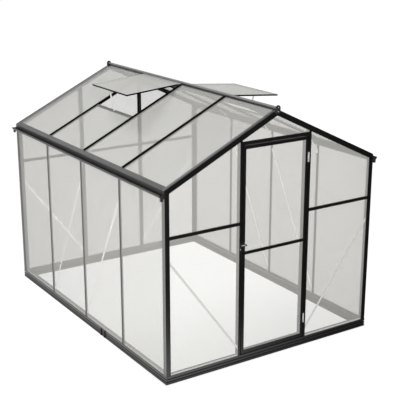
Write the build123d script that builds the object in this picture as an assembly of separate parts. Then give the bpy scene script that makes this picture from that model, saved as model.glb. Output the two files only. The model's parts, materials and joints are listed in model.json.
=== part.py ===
from build123d import *
import math
import os

os.makedirs("parts", exist_ok=True)

# Overall sizes, in millimetres. X runs along the door gable, Y to the back, Z up.
base_width = 1900.0
base_length = 2570.0
eave_height = 1454.0
ridge_height = 1910.0
side_bay_count = 4
gable_bay_count = 3

# Glazing sheets and the channels that hold them.
sheet_thickness = 4.0
sheet_clearance = 0.3
sheet_edge_gap = 2.0
flange = 2.0
web = 3.0

# Glazing bars and gable posts: a cap, a sheet channel on both sides and a foot.
bar_width = 18.0
roof_bar_width = 24.0
bar_depth = 16.0
bar_foot = 10.0
back_post_width = 40.0
back_post_depth = 20.0
back_post_foot = 20.0
mid_rail_width = 25.0
mid_rail_depth = 14.0
mid_rail_height = 1108.0

# Corner section of the posts and gable rafters.
corner_width = 38.0
corner_tube = 21.0
corner_leg_depth = 44.0

# Base frame.
sill_height = 65.0
sill_depth = 46.0
sill_web = 6.0
sill_lip = 12.0
sill_groove_count = 2
sill_groove_depth = 4.5
sill_groove_height = 4.5
sill_upstand = 11.0
sill_upstand_depth = 25.0
sill_joint_gap = 1.0
sill_joint_place = 305.0
splice_length = 60.0
splice_height = 46.0
splice_thickness = 3.0
strap_width = 13.0
strap_height = 56.0
strap_thickness = 9.0
fit_gap = 0.5

# Eave profile with its gutter.
apron_lap = 40.0
eave_drop = 54.0
eave_channel_stop = 28.0
gutter_width = 41.0
gutter_depth = 27.0
gutter_lip_drop = 28.0
gutter_lip_roll = 4.0
spout_radius = 8.0
spout_bore = 6.0
spout_drop = 16.0
spout_inset = 12.0

# Ridge.
ridge_flange = 13.0
ridge_stop = 6.0
ridge_stem = 48.0
ridge_foot = 14.0
crest_height = 12.0
crest_fin = 4.0
crest_radius = 6.0
ridge_cap_width = 40.0
ridge_cap_drop = 27.0
ridge_cap_rise = 33.0
ridge_cap_thickness = 8.0
ridge_cap_round = 2.0

# Roof vents, propped open.
vent_length = 487.0
vent_setback = 26.0
vent_angle_degrees = 5.0
vent_frame_width = 15.0
vent_frame_depth = 12.0
vent_skin = 3.0
vent_lip = 1.2
vent_side_gap = 3.0
vent_sill_slope = 521.0
stay_width = 12.0
stay_thickness = 3.0

# Braces and eave brackets.
brace_width = 17.0
brace_thickness = 2.0
brace_inset = 10.0
gable_brace_top = 935.0
gable_brace_foot = 120.0
side_brace_drop = 160.0
side_brace_foot = 97.0
bracket_width = 16.0
bracket_thickness = 2.5
bracket_tab_length = 32.0
bracket_wall_drop = 37.0
bracket_roof_length = 117.0

# Door.
door_width = 590.0
door_gap = 7.0
door_stile = 24.0
door_top_rail = 25.0
door_bottom_rail = 28.0
door_mid_rail = 24.0
door_mid_height = 804.0
door_depth = 40.0
door_foot = 24.0
door_post_width = 19.0
door_post_depth = 40.0
door_post_foot = 18.0
door_head_height = 25.0
door_head_gap = 10.0

# Hinges, latch and keeper.
hinge_length = 75.0
hinge_knuckle_count = 3
hinge_low_inset = 157.0
hinge_high_inset = 159.0
hinge_leaf_width = 7.0
hinge_thickness = 2.0
hinge_radius = 4.0
hinge_relief = 1.0
hinge_play = 0.5
latch_height = 67.0
latch_plate_width = 18.0
latch_plate_height = 56.0
latch_plate_thickness = 2.0
latch_plate_round = 4.5
latch_boss_radius = 7.0
latch_boss_height = 6.3
latch_pin_radius = 3.0
latch_bore_play = 0.3
lever_thickness = 6.0
lever_arm = 30.0
lever_tail = 10.0
lever_height = 10.0
knob_radius = 6.0
knob_height = 9.0
knob_round = 2.0
keeper_width = 17.0
keeper_height = 40.0
keeper_thickness = 2.0
keeper_round = 4.0

# Values that follow from the sizes above.
half_width = base_width / 2
half_length = base_length / 2
roof_angle = math.atan2(ridge_height - eave_height, half_width)
roof_cos = math.cos(roof_angle)
roof_sin = math.sin(roof_angle)
roof_tan = math.tan(roof_angle)
slope_corner = half_width / roof_cos
slope_apron = slope_corner - apron_lap
sheet_front = flange + sheet_clearance
sheet_back = sheet_front + sheet_thickness
bead_front = sheet_back + sheet_clearance
bead_back = bead_front + flange
side_pitch = (base_length - corner_width) / side_bay_count
gable_pitch = (base_width - corner_width) / gable_bay_count
bar_places = [(index - side_bay_count / 2) * side_pitch for index in range(1, side_bay_count)]
back_post_place = gable_pitch / 2
door_opening = door_width / 2 + door_gap
door_post_edge = door_opening + door_post_width
door_bottom = sill_height + door_gap
head_top = ridge_height - corner_width / roof_cos - door_opening * roof_tan - door_head_gap
head_bottom = head_top - door_head_height
door_top = head_bottom - door_gap
door_mid_level = door_bottom + door_mid_height
latch_level = door_mid_level + latch_height
hinge_levels = [door_bottom + hinge_low_inset, door_top - hinge_high_inset]
wall_top = eave_height - eave_drop
half_bar = bar_width / 2
half_web = web / 2
sheet_inset = half_web + sheet_edge_gap
corner_inset = corner_tube + sheet_edge_gap
hinge_axis_x = door_width / 2 + door_gap / 2
hinge_axis_y = half_length + hinge_radius
latch_place = door_width / 2 - door_stile / 2
inner_end = half_length - corner_leg_depth - fit_gap

down_slope = Vector(roof_cos, 0, -roof_sin)
roof_plane = Plane(
    origin=(0, 0, ridge_height), x_dir=down_slope, z_dir=(roof_sin, 0, roof_cos)
)


def strip(u0, u1, v0, v1):
    """Rectangle between two pairs of limits."""
    return Pos((u0 + u1) / 2, (v0 + v1) / 2) * Rectangle(u1 - u0, v1 - v0)


def slope_point(slope, depth):
    """Place of a point on the right slope, by way down it and depth below it."""
    x = slope * roof_cos - depth * roof_sin
    z = ridge_height - slope * roof_sin - depth * roof_cos
    return (x, z)


def slope_strip(s0, s1, d0, d1):
    """Rectangle laid along the right slope, seen along the ridge."""
    corners = [
        slope_point(s0, d0), slope_point(s0, d1), slope_point(s1, d1), slope_point(s1, d0)
    ]
    return Polygon(*corners, align=None)


def bar_profile(cap, depth, foot):
    """Section of a bar with a sheet channel on both sides; u across, v inward."""
    profile = strip(-cap / 2, cap / 2, 0, flange)
    profile += strip(-half_web, half_web, 0, depth)
    profile += strip(-cap / 2, cap / 2, bead_front, bead_back)
    profile += strip(-foot / 2, foot / 2, depth - flange, depth)
    return profile


def edge_profile(width, depth, foot):
    """Section of a member with one sheet channel and a closed edge at u = 0."""
    profile = strip(0, width, 0, flange)
    profile += strip(0, web, 0, depth)
    profile += strip(0, width, bead_front, bead_back)
    profile += strip(0, foot, depth - flange, depth)
    return profile


def corner_profile(leg):
    """Section that joins two faces at a right angle, with a sheet channel in each."""
    tube_inner = corner_tube - web
    profile = strip(0, corner_width, 0, flange)
    profile += strip(0, flange, 0, corner_width)
    profile += strip(tube_inner, corner_tube, 0, leg)
    profile += strip(0, leg, tube_inner, corner_tube)
    profile += strip(tube_inner, corner_width, bead_front, bead_back)
    profile += strip(bead_front, bead_back, tube_inner, corner_width)
    return profile


def sill_profile():
    """Lipped channel with a grooved outer face; u upward, v inward."""
    profile = strip(0, sill_height, 0, sill_web)
    profile += strip(0, flange, 0, sill_depth)
    profile += strip(sill_height - flange, sill_height, 0, sill_depth)
    profile += strip(0, sill_lip, sill_depth - flange, sill_depth)
    profile += strip(sill_height - sill_lip, sill_height, sill_depth - flange, sill_depth)
    for index in range(sill_groove_count):
        low = sill_height * (index + 1) / (sill_groove_count + 1) - sill_groove_height / 2
        profile -= strip(low, low + sill_groove_height, 0, sill_groove_depth)
    return profile


def upright(profile, x, face, bottom, top):
    """Stand a section on a front wall whose outer face lies at y = -face."""
    return Pos(x, -face, bottom) * extrude(profile, top - bottom)


def flipped(profile):
    """Section seen the other way round."""
    return mirror(profile, about=Plane.YZ)


def rail(profile, x0, x1, face, z):
    """Lay a section along a front wall with its u axis upward."""
    plane = Plane(origin=(x1, -face, z), x_dir=(0, 0, 1), z_dir=(-1, 0, 0))
    return extrude(plane * profile, x1 - x0)


def hanging_rail(profile, x0, x1, face, z):
    """Lay a section along a front wall with its u axis downward."""
    plane = Plane(origin=(x0, -face, z), x_dir=(0, 0, -1), z_dir=(1, 0, 0))
    return extrude(plane * profile, x1 - x0)


def plate(outline, face, depth, thickness):
    """Sheet with an outline in x and z, at a depth behind a front wall's face."""
    return extrude(Plane.XZ.offset(face - depth - thickness) * outline, thickness)


def along_ridge(outline, y0, y1):
    """Extrude an outline in x and z between two places along the ridge."""
    return extrude(Plane.XZ.offset(-y1) * outline, y1 - y0)


def turned(shape, degrees):
    """Shape turned about the upright axis through the middle of the plan."""
    return Rot(0, 0, degrees) * shape


def gable_outline(depth):
    """Everything above the ground that lies deeper than this below both slopes."""
    apex = ridge_height - depth / roof_cos
    foot = apex - base_width * roof_tan
    corners = [(-base_width, 0), (base_width, 0), (base_width, foot), (0, apex), (-base_width, foot)]
    return Polygon(*corners, align=None)


def band(p0, p1, width):
    """Straight flat strip between two points."""
    run = math.dist(p0, p1)
    across_u = (p0[1] - p1[1]) / run * width / 2
    across_v = (p1[0] - p0[0]) / run * width / 2
    corners = [
        (p0[0] - across_u, p0[1] - across_v),
        (p1[0] - across_u, p1[1] - across_v),
        (p1[0] + across_u, p1[1] + across_v),
        (p0[0] + across_u, p0[1] + across_v),
    ]
    return Polygon(*corners, align=None)


def save(node, *shapes):
    """Write the solids of one node."""
    solids = [solid for shape in shapes for solid in shape.solids()]
    export_step(Compound(solids), f"parts/{node}.step")


def with_opposite(shape):
    """A shape and its twin on the far side of the plan."""
    return (shape, turned(shape, 180))


# Base frame: four mitred channels, with an upstand along the inner side of each bay.
def sill(half_run, face, bays, joint=None):
    body = rail(sill_profile(), -half_run, half_run, face, 0)
    inner = half_run - sill_depth
    mitre = Polygon(
        (-half_run, -face), (half_run, -face),
        (inner, sill_depth - face), (-inner, sill_depth - face), align=None,
    )
    body = body & extrude(mitre, sill_height)
    for start, end in bays:
        upstand = strip(start + fit_gap, end - fit_gap, sill_height, sill_height + sill_upstand)
        body += plate(upstand, face, sill_upstand_depth, flange)
    if joint is not None:
        cut = strip(joint, joint + sill_joint_gap, 0, sill_height + sill_upstand)
        body -= plate(cut, face, 0, sill_depth)
    return body


def bay_limits(half_run, places, half_member):
    """Clear stretches between the corner posts and the members of one wall."""
    starts = [corner_width - half_run] + [place + half_member for place in places]
    ends = [place - half_member for place in places] + [half_run - corner_width]
    return list(zip(starts, ends))


side_bay_limits = bay_limits(half_length, bar_places, half_bar)
roof_bay_limits = bay_limits(half_length, bar_places, roof_bar_width / 2)
back_bay_limits = bay_limits(half_width, [-back_post_place, back_post_place], back_post_width / 2)
front_bay_limits = [
    (corner_width - half_width, -door_post_edge),
    (door_post_edge, half_width - corner_width),
]

sill_front = sill(half_width, half_length, front_bay_limits)
sill_back = turned(sill(half_width, half_length, back_bay_limits), 180)
side_sill = sill(half_length, half_width, side_bay_limits, sill_joint_place)
save("sill_front", sill_front)
save("sill_back", sill_back)
save("sill_right", turned(side_sill, 90))
save("sill_left", turned(side_sill, 270))

splice_bottom = (sill_height - splice_height) / 2
splice_outline = strip(
    sill_joint_place - splice_length / 2, sill_joint_place + splice_length / 2,
    splice_bottom, splice_bottom + splice_height,
)
splice = plate(splice_outline, half_width, -splice_thickness, splice_thickness)
strap_bottom = (sill_height - strap_height) / 2
for strap_middle in (sill_joint_place - splice_length / 2, sill_joint_place + splice_length / 2):
    strap_outline = strip(
        strap_middle - strap_width / 2, strap_middle + strap_width / 2,
        strap_bottom, strap_bottom + strap_height,
    )
    splice += plate(strap_outline, half_width, -strap_thickness, strap_thickness)
save("sill_splices", *with_opposite(turned(splice, 90)))

# Corner posts, cut to the slope of the rafters that they carry.
under_rafters = along_ridge(gable_outline(corner_width), -base_length, base_length)


def corner_post(x, y, degrees):
    post = extrude(corner_profile(corner_leg_depth), ridge_height - sill_height)
    return (Pos(x, y, sill_height) * Rot(0, 0, degrees) * post) & under_rafters


save(
    "front_corner_posts",
    corner_post(-half_width, -half_length, 0),
    corner_post(half_width, -half_length, 90),
)
save(
    "back_corner_posts",
    corner_post(half_width, half_length, 180),
    corner_post(-half_width, half_length, 270),
)

# Gable posts: a pair beside the door, and a pair in the back wall.
door_post_profile = edge_profile(door_post_width, door_post_depth, door_post_foot)
door_post_right = upright(door_post_profile, door_opening, half_length, sill_height, ridge_height)
door_post_left = upright(
    flipped(door_post_profile), -door_opening, half_length, sill_height, ridge_height
)
save("door_posts", door_post_right & under_rafters, door_post_left & under_rafters)

back_post_profile = bar_profile(back_post_width, back_post_depth, back_post_foot)
back_post = upright(back_post_profile, back_post_place, half_length, sill_height, ridge_height)
back_posts = [turned(back_post & under_rafters, 180)]
back_posts.append(mirror(back_posts[0], about=Plane.YZ))
save("back_posts", *back_posts)

# Gable rafters, from the ridge to the outer faces of the walls.
within_walls = Box(base_width, base_length, ridge_height, align=(Align.CENTER, Align.CENTER, Align.MIN))
rafter_run = slope_corner + corner_width - ridge_flange


def rafter(y, inward):
    """Rafter of the right slope; its section starts where the roof meets the gable."""
    top = slope_point(ridge_flange, 0)
    end = slope_point(ridge_flange + rafter_run, 0)
    if inward > 0:
        plane = Plane(origin=(end[0], y, end[1]), x_dir=(0, 1, 0), z_dir=-down_slope)
    else:
        plane = Plane(origin=(top[0], y, top[1]), x_dir=(0, -1, 0), z_dir=down_slope)
    return extrude(plane * corner_profile(corner_width), rafter_run) & within_walls


front_right_rafter = rafter(-half_length, 1)
back_right_rafter = rafter(half_length, -1)
save("front_rafters", front_right_rafter, turned(back_right_rafter, 180))
save("back_rafters", back_right_rafter, turned(front_right_rafter, 180))

# Eave profiles: a channel for the wall sheets, a lap over the roof sheets and a gutter.
gutter_outer = half_width + gutter_width
gutter_lip_top = eave_height - gutter_lip_drop


def eave_section():
    stop = eave_height - eave_channel_stop
    outline = slope_strip(slope_apron, slope_corner, 0, flange)
    outline += slope_strip(slope_apron, slope_corner, bead_front, bead_back)
    outline += strip(half_width - flange, half_width, wall_top, eave_height)
    outline += strip(half_width - bead_back, half_width - bead_front, wall_top, eave_height)
    outline += strip(half_width - bead_back, half_width, stop, stop + flange)
    outside = strip(half_width, gutter_outer, 0, ridge_height)
    return (outline - outside) & gable_outline(0)


def gutter_trough(inset):
    """Quarter of an ellipse below the lip, drawn in from the outside of the gutter."""
    round_part = Pos(half_width, gutter_lip_top) * Ellipse(gutter_width - inset, gutter_depth - inset)
    return round_part & strip(half_width, gutter_outer, 0, gutter_lip_top)


def gutter_section():
    outline = gutter_trough(0) - gutter_trough(flange)
    wall_low = gutter_lip_top - gutter_depth / 2
    outline += strip(half_width, half_width + flange, wall_low, eave_height - flange)
    outline += Pos(gutter_outer - gutter_lip_roll, gutter_lip_top) * Circle(gutter_lip_roll)
    return outline


spout_x = half_width + gutter_width / 2
spout_y = half_length - spout_inset
spout_top = gutter_lip_top - gutter_depth / 2
spout_bottom = gutter_lip_top - gutter_depth - spout_drop
gutter = along_ridge(eave_section(), -inner_end, inner_end)
gutter += along_ridge(gutter_section(), -half_length, half_length)
for y in (-spout_y, spout_y):
    gutter -= Pos(spout_x, y, gutter_lip_top - gutter_depth) * Cylinder(spout_bore, gutter_depth)
save("gutter_right", gutter)
save("gutter_left", turned(gutter, 180))


# Gutter ends: a plate over the trough that carries a drain spout below it.
def gutter_front_end():
    plate_outline = gutter_trough(0)
    plate_outline += strip(spout_x - spout_radius, spout_x + spout_radius, spout_bottom, spout_top)
    end = along_ridge(plate_outline, -half_length - flange, -half_length)
    spout = Circle(spout_radius) + strip(-spout_radius, spout_radius, -spout_inset, 0)
    tube = extrude(spout - Circle(spout_bore), spout_top - spout_bottom)
    tube = Pos(spout_x, -spout_y, spout_bottom) * tube
    return end + (tube - along_ridge(gutter_trough(0), -half_length, half_length))


front_end = gutter_front_end()
back_end = mirror(front_end, about=Plane.XZ)
save("gutter_spouts", *with_opposite(front_end), *with_opposite(back_end))


# Ridge beam: a lap and a sheet channel on each slope, a stem below and a crest above.
def ridge_section():
    half = slope_strip(0, ridge_flange, 0, flange)
    half += slope_strip(ridge_stop, ridge_stop + flange, 0, bead_back)
    half += slope_strip(ridge_stop, ridge_flange, bead_front, bead_back)
    outline = half + mirror(half, about=Plane.YZ)
    outline += strip(-crest_fin / 2, crest_fin / 2, ridge_height - flange, ridge_height + crest_height)
    outline += Pos(0, ridge_height + crest_height) * Circle(crest_radius)
    return outline


def stem_section():
    bottom = ridge_height - ridge_stem
    outline = strip(-half_web, half_web, bottom, ridge_height)
    outline += strip(-ridge_foot / 2, ridge_foot / 2, bottom, bottom + flange)
    return outline & gable_outline(0)


ridge_beam = along_ridge(ridge_section(), -half_length, half_length)
ridge_beam += along_ridge(stem_section(), -inner_end, inner_end)
save("ridge_beam", ridge_beam)

cap_bottom = ridge_height - ridge_cap_drop
cap_spring = ridge_height + ridge_cap_rise - ridge_cap_width / 2
cap_outline = strip(-ridge_cap_width / 2, ridge_cap_width / 2, cap_bottom, cap_spring)
cap_outline += Pos(0, cap_spring) * Circle(ridge_cap_width / 2)
ridge_cap = along_ridge(cap_outline, half_length, half_length + ridge_cap_thickness)
ridge_cap = fillet(ridge_cap.faces().sort_by(Axis.Y)[-1].edges(), ridge_cap_round)
save("ridge_end_caps", *with_opposite(ridge_cap))

# Wall bars and roof bars on the same lines.
glazing_bar = bar_profile(bar_width, bar_depth, bar_foot)
right_wall_bars = [
    turned(upright(glazing_bar, place, half_width, sill_height, wall_top), 90) for place in bar_places
]
save("right_wall_bars", *right_wall_bars)
save("left_wall_bars", *[turned(bar, 180) for bar in right_wall_bars])

roof_bar = bar_profile(roof_bar_width, bar_depth, bar_foot)
bar_top = slope_point(ridge_flange, 0)
right_roof_bars = []
for place in bar_places:
    bar_plane = Plane(origin=(bar_top[0], place, bar_top[1]), x_dir=(0, -1, 0), z_dir=down_slope)
    right_roof_bars.append(extrude(bar_plane * roof_bar, slope_apron - ridge_flange))
save("right_roof_bars", *right_roof_bars)
save("left_roof_bars", *[turned(bar, 180) for bar in right_roof_bars])

# Door head and the rails at mid height.
door_head_profile = edge_profile(door_head_height, bar_depth, bar_foot)
save("door_head", rail(door_head_profile, -door_opening, door_opening, half_length, head_bottom))

mid_profile = bar_profile(mid_rail_width, mid_rail_depth, web)
front_mid_rails = [
    rail(mid_profile, start, end, half_length, mid_rail_height) for start, end in front_bay_limits
]
back_mid_rails = [
    turned(rail(mid_profile, start, end, half_length, mid_rail_height), 180)
    for start, end in back_bay_limits
]
save("front_mid_rails", *front_mid_rails)
save("back_mid_rails", *back_mid_rails)

# Wall sheets. Each edge stops short of the bottom of its channel.
sheet_bottom = sill_height + sheet_clearance
side_sheet_top = eave_height - eave_channel_stop - sheet_edge_gap
rail_gap = half_web + sheet_edge_gap


def sheet_limits(half_run, places, inset):
    """Side edges of the sheets between the corner posts and the members of one wall."""
    starts = [corner_inset - half_run] + [place + inset for place in places]
    ends = [place - inset for place in places] + [half_run - corner_inset]
    return list(zip(starts, ends))


def wall_sheet(outline, face):
    return plate(outline, face, sheet_front, sheet_thickness)


right_wall_sheets = [
    turned(wall_sheet(strip(start, end, sheet_bottom, side_sheet_top), half_width), 90)
    for start, end in sheet_limits(half_length, bar_places, sheet_inset)
]
save("right_wall_panels", *right_wall_sheets)
save("left_wall_panels", *[turned(sheet, 180) for sheet in right_wall_sheets])

under_slope = gable_outline(corner_inset)


def gable_sheets(start, end):
    """Lower and upper sheet of one gable bay, parted by the rail at mid height."""
    lower = strip(start, end, sheet_bottom, mid_rail_height - rail_gap)
    upper = strip(start, end, mid_rail_height + rail_gap, ridge_height) & under_slope
    return [wall_sheet(lower, half_length), wall_sheet(upper, half_length)]


front_sheets = []
door_side_inset = door_opening + web + sheet_edge_gap
front_sheets += gable_sheets(corner_inset - half_width, -door_side_inset)
front_sheets += gable_sheets(door_side_inset, half_width - corner_inset)
over_door = strip(
    sheet_clearance - door_opening, door_opening - sheet_clearance,
    head_bottom + web + sheet_edge_gap, ridge_height,
)
front_sheets.append(wall_sheet(over_door & under_slope, half_length))
save("front_panels", *front_sheets)

back_sheets = []
for start, end in sheet_limits(half_width, [-back_post_place, back_post_place], sheet_inset):
    back_sheets += [turned(sheet, 180) for sheet in gable_sheets(start, end)]
save("back_panels", *back_sheets)

# Roof sheets. The bay with the vent keeps only the sheet below the vent sill.
roof_sheet_top = ridge_stop + flange + sheet_edge_gap
roof_sheet_end = (half_width - bead_back - sheet_edge_gap) / roof_cos
vent_bay = side_bay_count // 2 - 1
right_roof_sheets = []
for index, (start, end) in enumerate(sheet_limits(half_length, bar_places, sheet_inset)):
    top = vent_sill_slope + rail_gap if index == vent_bay else roof_sheet_top
    outline = roof_plane.offset(-sheet_back) * strip(top, roof_sheet_end, start, end)
    right_roof_sheets.append(extrude(outline, sheet_thickness))
save("right_roof_panels", *right_roof_sheets)
save("left_roof_panels", *[turned(sheet, 180) for sheet in right_roof_sheets])

# Vent sill, vent, and the stay that props it open.
vent_start, vent_end = roof_bay_limits[vent_bay]
sill_point = slope_point(vent_sill_slope, 0)
vent_sill_plane = Plane(
    origin=(sill_point[0], vent_start, sill_point[1]), x_dir=down_slope, z_dir=(0, 1, 0)
)
vent_sill = extrude(vent_sill_plane * mid_profile, vent_end - vent_start)
save("vent_sills", *with_opposite(vent_sill))

vent_angle = math.radians(vent_angle_degrees)
vent_cos = math.cos(vent_angle)
vent_sin = math.sin(vent_angle)
pivot_x = crest_fin / 2 + sheet_clearance
vent_plane = Plane(
    origin=(pivot_x, 0, ridge_height), x_dir=(vent_cos, 0, -vent_sin), z_dir=(vent_sin, 0, vent_cos)
)
vent_left = vent_start + vent_side_gap
vent_right = vent_end - vent_side_gap
vent_tip = vent_setback + vent_length


def vent_slab(inset, low, high):
    outline = strip(vent_setback + inset, vent_tip - inset, vent_left + inset, vent_right - inset)
    return extrude(vent_plane.offset(low) * outline, high - low)


vent_low = vent_skin - vent_frame_depth
vent_seat = vent_skin - sheet_thickness - sheet_clearance
vent_frame = vent_slab(0, vent_low, vent_skin)
vent_frame -= vent_slab(vent_frame_width, vent_low, vent_skin)
vent_frame -= vent_slab(vent_lip, vent_seat, vent_skin)
vent_frame += extrude(vent_plane * strip(0, vent_setback, vent_left, vent_right), vent_skin)
vent_sheet = vent_slab(vent_lip + sheet_clearance, vent_seat + sheet_clearance, vent_skin)
save("vent_frames", *with_opposite(vent_frame))
save("vent_panels", *with_opposite(vent_sheet))


def vent_point(reach, rise):
    """Place of a point on the vent, by way down it and height above its pivot plane."""
    x = pivot_x + reach * vent_cos + rise * vent_sin
    z = ridge_height - reach * vent_sin + rise * vent_cos
    return (x, z)


stay_tip = vent_tip - (vent_frame_width - stay_width) / 2
stay_top = vent_low - sheet_clearance
stay_outline = Polygon(
    slope_point(vent_sill_slope - stay_width / 2, -sheet_clearance),
    slope_point(vent_sill_slope + stay_width / 2, -sheet_clearance),
    vent_point(stay_tip, stay_top),
    vent_point(stay_tip - stay_width, stay_top),
    align=None,
)
stay_middle = (vent_start + vent_end) / 2
stay = along_ridge(stay_outline, stay_middle - stay_thickness / 2, stay_middle + stay_thickness / 2)
save("vent_stays", *with_opposite(stay))


# Flat braces against the inner side of the channels.
def brace(u0, z0, u1, z1, face):
    return plate(band((u0, z0), (u1, z1), brace_width), face, bead_back, brace_thickness)


corner_brace = half_width - corner_tube - brace_inset
front_foot = door_opening + web + brace_inset
back_foot = back_post_place + brace_inset
front_brace = brace(corner_brace, gable_brace_top, front_foot, gable_brace_foot, half_length)
back_brace = turned(brace(corner_brace, gable_brace_top, back_foot, gable_brace_foot, half_length), 180)
gable_braces = []
for piece in (front_brace, back_brace):
    gable_braces += [piece, mirror(piece, about=Plane.YZ)]
save("gable_braces", *gable_braces)

side_braces = []
side_brace_top = wall_top - side_brace_drop
for index in range(1, len(bar_places)):
    foot = bar_places[index - 1] + brace_inset
    top = bar_places[index] - brace_inset
    side_braces.append(turned(brace(foot, side_brace_foot, top, side_brace_top, half_width), 90))
save("side_braces", *side_braces, *[turned(piece, 180) for piece in side_braces])

# Knee brackets: a bent strip from the inner face of each wall bar to its roof bar.
bracket_line = bar_depth + bracket_thickness / 2
bracket_x = half_width - bracket_line
bracket_bend = wall_top - bracket_wall_drop
bracket_slope = slope_corner - bracket_roof_length
bracket_points = [
    (bracket_x, bracket_bend - bracket_tab_length),
    (bracket_x, bracket_bend),
    slope_point(bracket_slope, bracket_line),
    slope_point(bracket_slope - bracket_tab_length, bracket_line),
]
bracket_outline = Sketch()
for lower, upper in zip(bracket_points, bracket_points[1:]):
    bracket_outline += band(lower, upper, bracket_thickness)
    bracket_outline += Pos(*upper) * Circle(bracket_thickness / 2)
brackets = [
    along_ridge(bracket_outline, place - bracket_width / 2, place + bracket_width / 2)
    for place in bar_places
]
save("eave_brackets", *brackets, *[turned(piece, 180) for piece in brackets])

# Door: two stiles, three rails and two sheets, with play all round.
stile_profile = edge_profile(door_stile, door_depth, door_foot)
half_door = door_width / 2
stile_edge = half_door - door_stile
right_stile = upright(flipped(stile_profile), half_door, half_length, door_bottom, door_top)
left_stile = upright(stile_profile, -half_door, half_length, door_bottom, door_top)
save("door_stiles", right_stile, left_stile)

top_profile = edge_profile(door_top_rail, door_depth, door_foot)
bottom_profile = edge_profile(door_bottom_rail, door_depth, door_foot)
door_mid_profile = bar_profile(door_mid_rail, mid_rail_depth, web)
door_rails = [
    hanging_rail(top_profile, -stile_edge, stile_edge, half_length, door_top),
    rail(bottom_profile, -stile_edge, stile_edge, half_length, door_bottom),
    rail(door_mid_profile, -stile_edge, stile_edge, half_length, door_mid_level),
]
save("door_rails", *door_rails)

door_sheet_side = half_door - web - sheet_edge_gap
door_sheet_low = door_bottom + web + sheet_edge_gap
door_sheet_high = door_top - web - sheet_edge_gap
door_sheets = [
    strip(-door_sheet_side, door_sheet_side, door_sheet_low, door_mid_level - rail_gap),
    strip(-door_sheet_side, door_sheet_side, door_mid_level + rail_gap, door_sheet_high),
]
save("door_panels", *[wall_sheet(outline, half_length) for outline in door_sheets])

# Butt hinges: the middle knuckle turns with the door, the outer two stay on the post.
knuckle = hinge_length / hinge_knuckle_count
leaf_start = hinge_radius + hinge_relief


def hinge_leaf_shape(level, side, knuckles):
    """One leaf with its knuckles; side is +1 toward the post and -1 toward the door."""
    bottom = level - hinge_length / 2
    near = hinge_axis_x + side * leaf_start
    far = hinge_axis_x + side * hinge_leaf_width
    leaf = plate(
        strip(min(near, far), max(near, far), bottom, bottom + hinge_length),
        half_length, -hinge_thickness, hinge_thickness,
    )
    for index in knuckles:
        low = bottom + index * knuckle + hinge_play / 2
        high = low + knuckle - hinge_play
        tab = strip(min(hinge_axis_x, near), max(hinge_axis_x, near), low, high)
        leaf += plate(tab, half_length, -hinge_thickness, hinge_thickness)
        barrel = Cylinder(hinge_radius, high - low)
        leaf += Pos(hinge_axis_x, -hinge_axis_y, (low + high) / 2) * barrel
    return leaf


post_knuckles = range(0, hinge_knuckle_count, 2)
door_knuckles = range(1, hinge_knuckle_count, 2)
save("hinge_post_leaves", *[hinge_leaf_shape(level, 1, post_knuckles) for level in hinge_levels])
save("hinge_door_leaves", *[hinge_leaf_shape(level, -1, door_knuckles) for level in hinge_levels])


# Turn latch on the free stile, and the keeper on the post beside it.
def outward_pin(x, z, radius, start, end):
    """Round pin that stands out from the front face."""
    pin = Plane(origin=(x, -half_length - start, z), z_dir=(0, -1, 0)) * Circle(radius)
    return extrude(pin, end - start)


plate_outline = RectangleRounded(latch_plate_width, latch_plate_height, latch_plate_round)
plate_outline = Pos(-latch_place, latch_level) * plate_outline
boss_top = latch_plate_thickness + latch_boss_height
lever_top = boss_top + lever_thickness
latch_plate = plate(plate_outline, half_length, -latch_plate_thickness, latch_plate_thickness)
latch_plate += outward_pin(-latch_place, latch_level, latch_boss_radius, latch_plate_thickness, boss_top)
latch_plate += outward_pin(-latch_place, latch_level, latch_pin_radius, boss_top, lever_top)
save("latch_plate", latch_plate)

lever_outline = strip(
    -latch_place - lever_arm, lever_tail - latch_place,
    latch_level - lever_height / 2, latch_level + lever_height / 2,
)
lever_outline += Pos(-latch_place, latch_level) * Circle(latch_boss_radius)
lever_outline += Pos(lever_tail - latch_place, latch_level) * Circle(knob_radius)
lever_outline -= Pos(-latch_place, latch_level) * Circle(latch_pin_radius + latch_bore_play)
lever = plate(lever_outline, half_length, -lever_top, lever_thickness)
knob = outward_pin(lever_tail - latch_place, latch_level, knob_radius, lever_top, lever_top + knob_height)
lever += fillet(knob.faces().sort_by(Axis.Y)[0].edges(), knob_round)
save("latch_lever", lever)

keeper_x = door_opening + door_post_width / 2
keeper_outline = Pos(-keeper_x, latch_level) * RectangleRounded(keeper_width, keeper_height, keeper_round)
save("latch_keeper", plate(keeper_outline, half_length, -keeper_thickness, keeper_thickness))
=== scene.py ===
"""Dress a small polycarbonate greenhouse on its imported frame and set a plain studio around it."""

import json
import logging
import math
from dataclasses import dataclass, replace
from enum import Enum

import bmesh
import bpy
import numpy as np
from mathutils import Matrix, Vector


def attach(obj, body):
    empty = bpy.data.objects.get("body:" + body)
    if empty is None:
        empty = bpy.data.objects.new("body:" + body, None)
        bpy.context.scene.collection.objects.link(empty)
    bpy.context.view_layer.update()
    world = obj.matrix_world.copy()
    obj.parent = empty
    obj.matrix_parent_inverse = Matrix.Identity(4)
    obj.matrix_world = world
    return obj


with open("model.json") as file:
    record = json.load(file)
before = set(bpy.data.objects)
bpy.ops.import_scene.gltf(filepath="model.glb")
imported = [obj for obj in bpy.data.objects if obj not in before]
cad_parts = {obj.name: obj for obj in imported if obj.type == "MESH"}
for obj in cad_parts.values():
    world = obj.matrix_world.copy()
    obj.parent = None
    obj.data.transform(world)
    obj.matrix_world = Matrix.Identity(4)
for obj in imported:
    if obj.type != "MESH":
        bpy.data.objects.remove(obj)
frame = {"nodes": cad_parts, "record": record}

WHITE = (1.0, 1.0, 1.0, 1.0)
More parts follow.
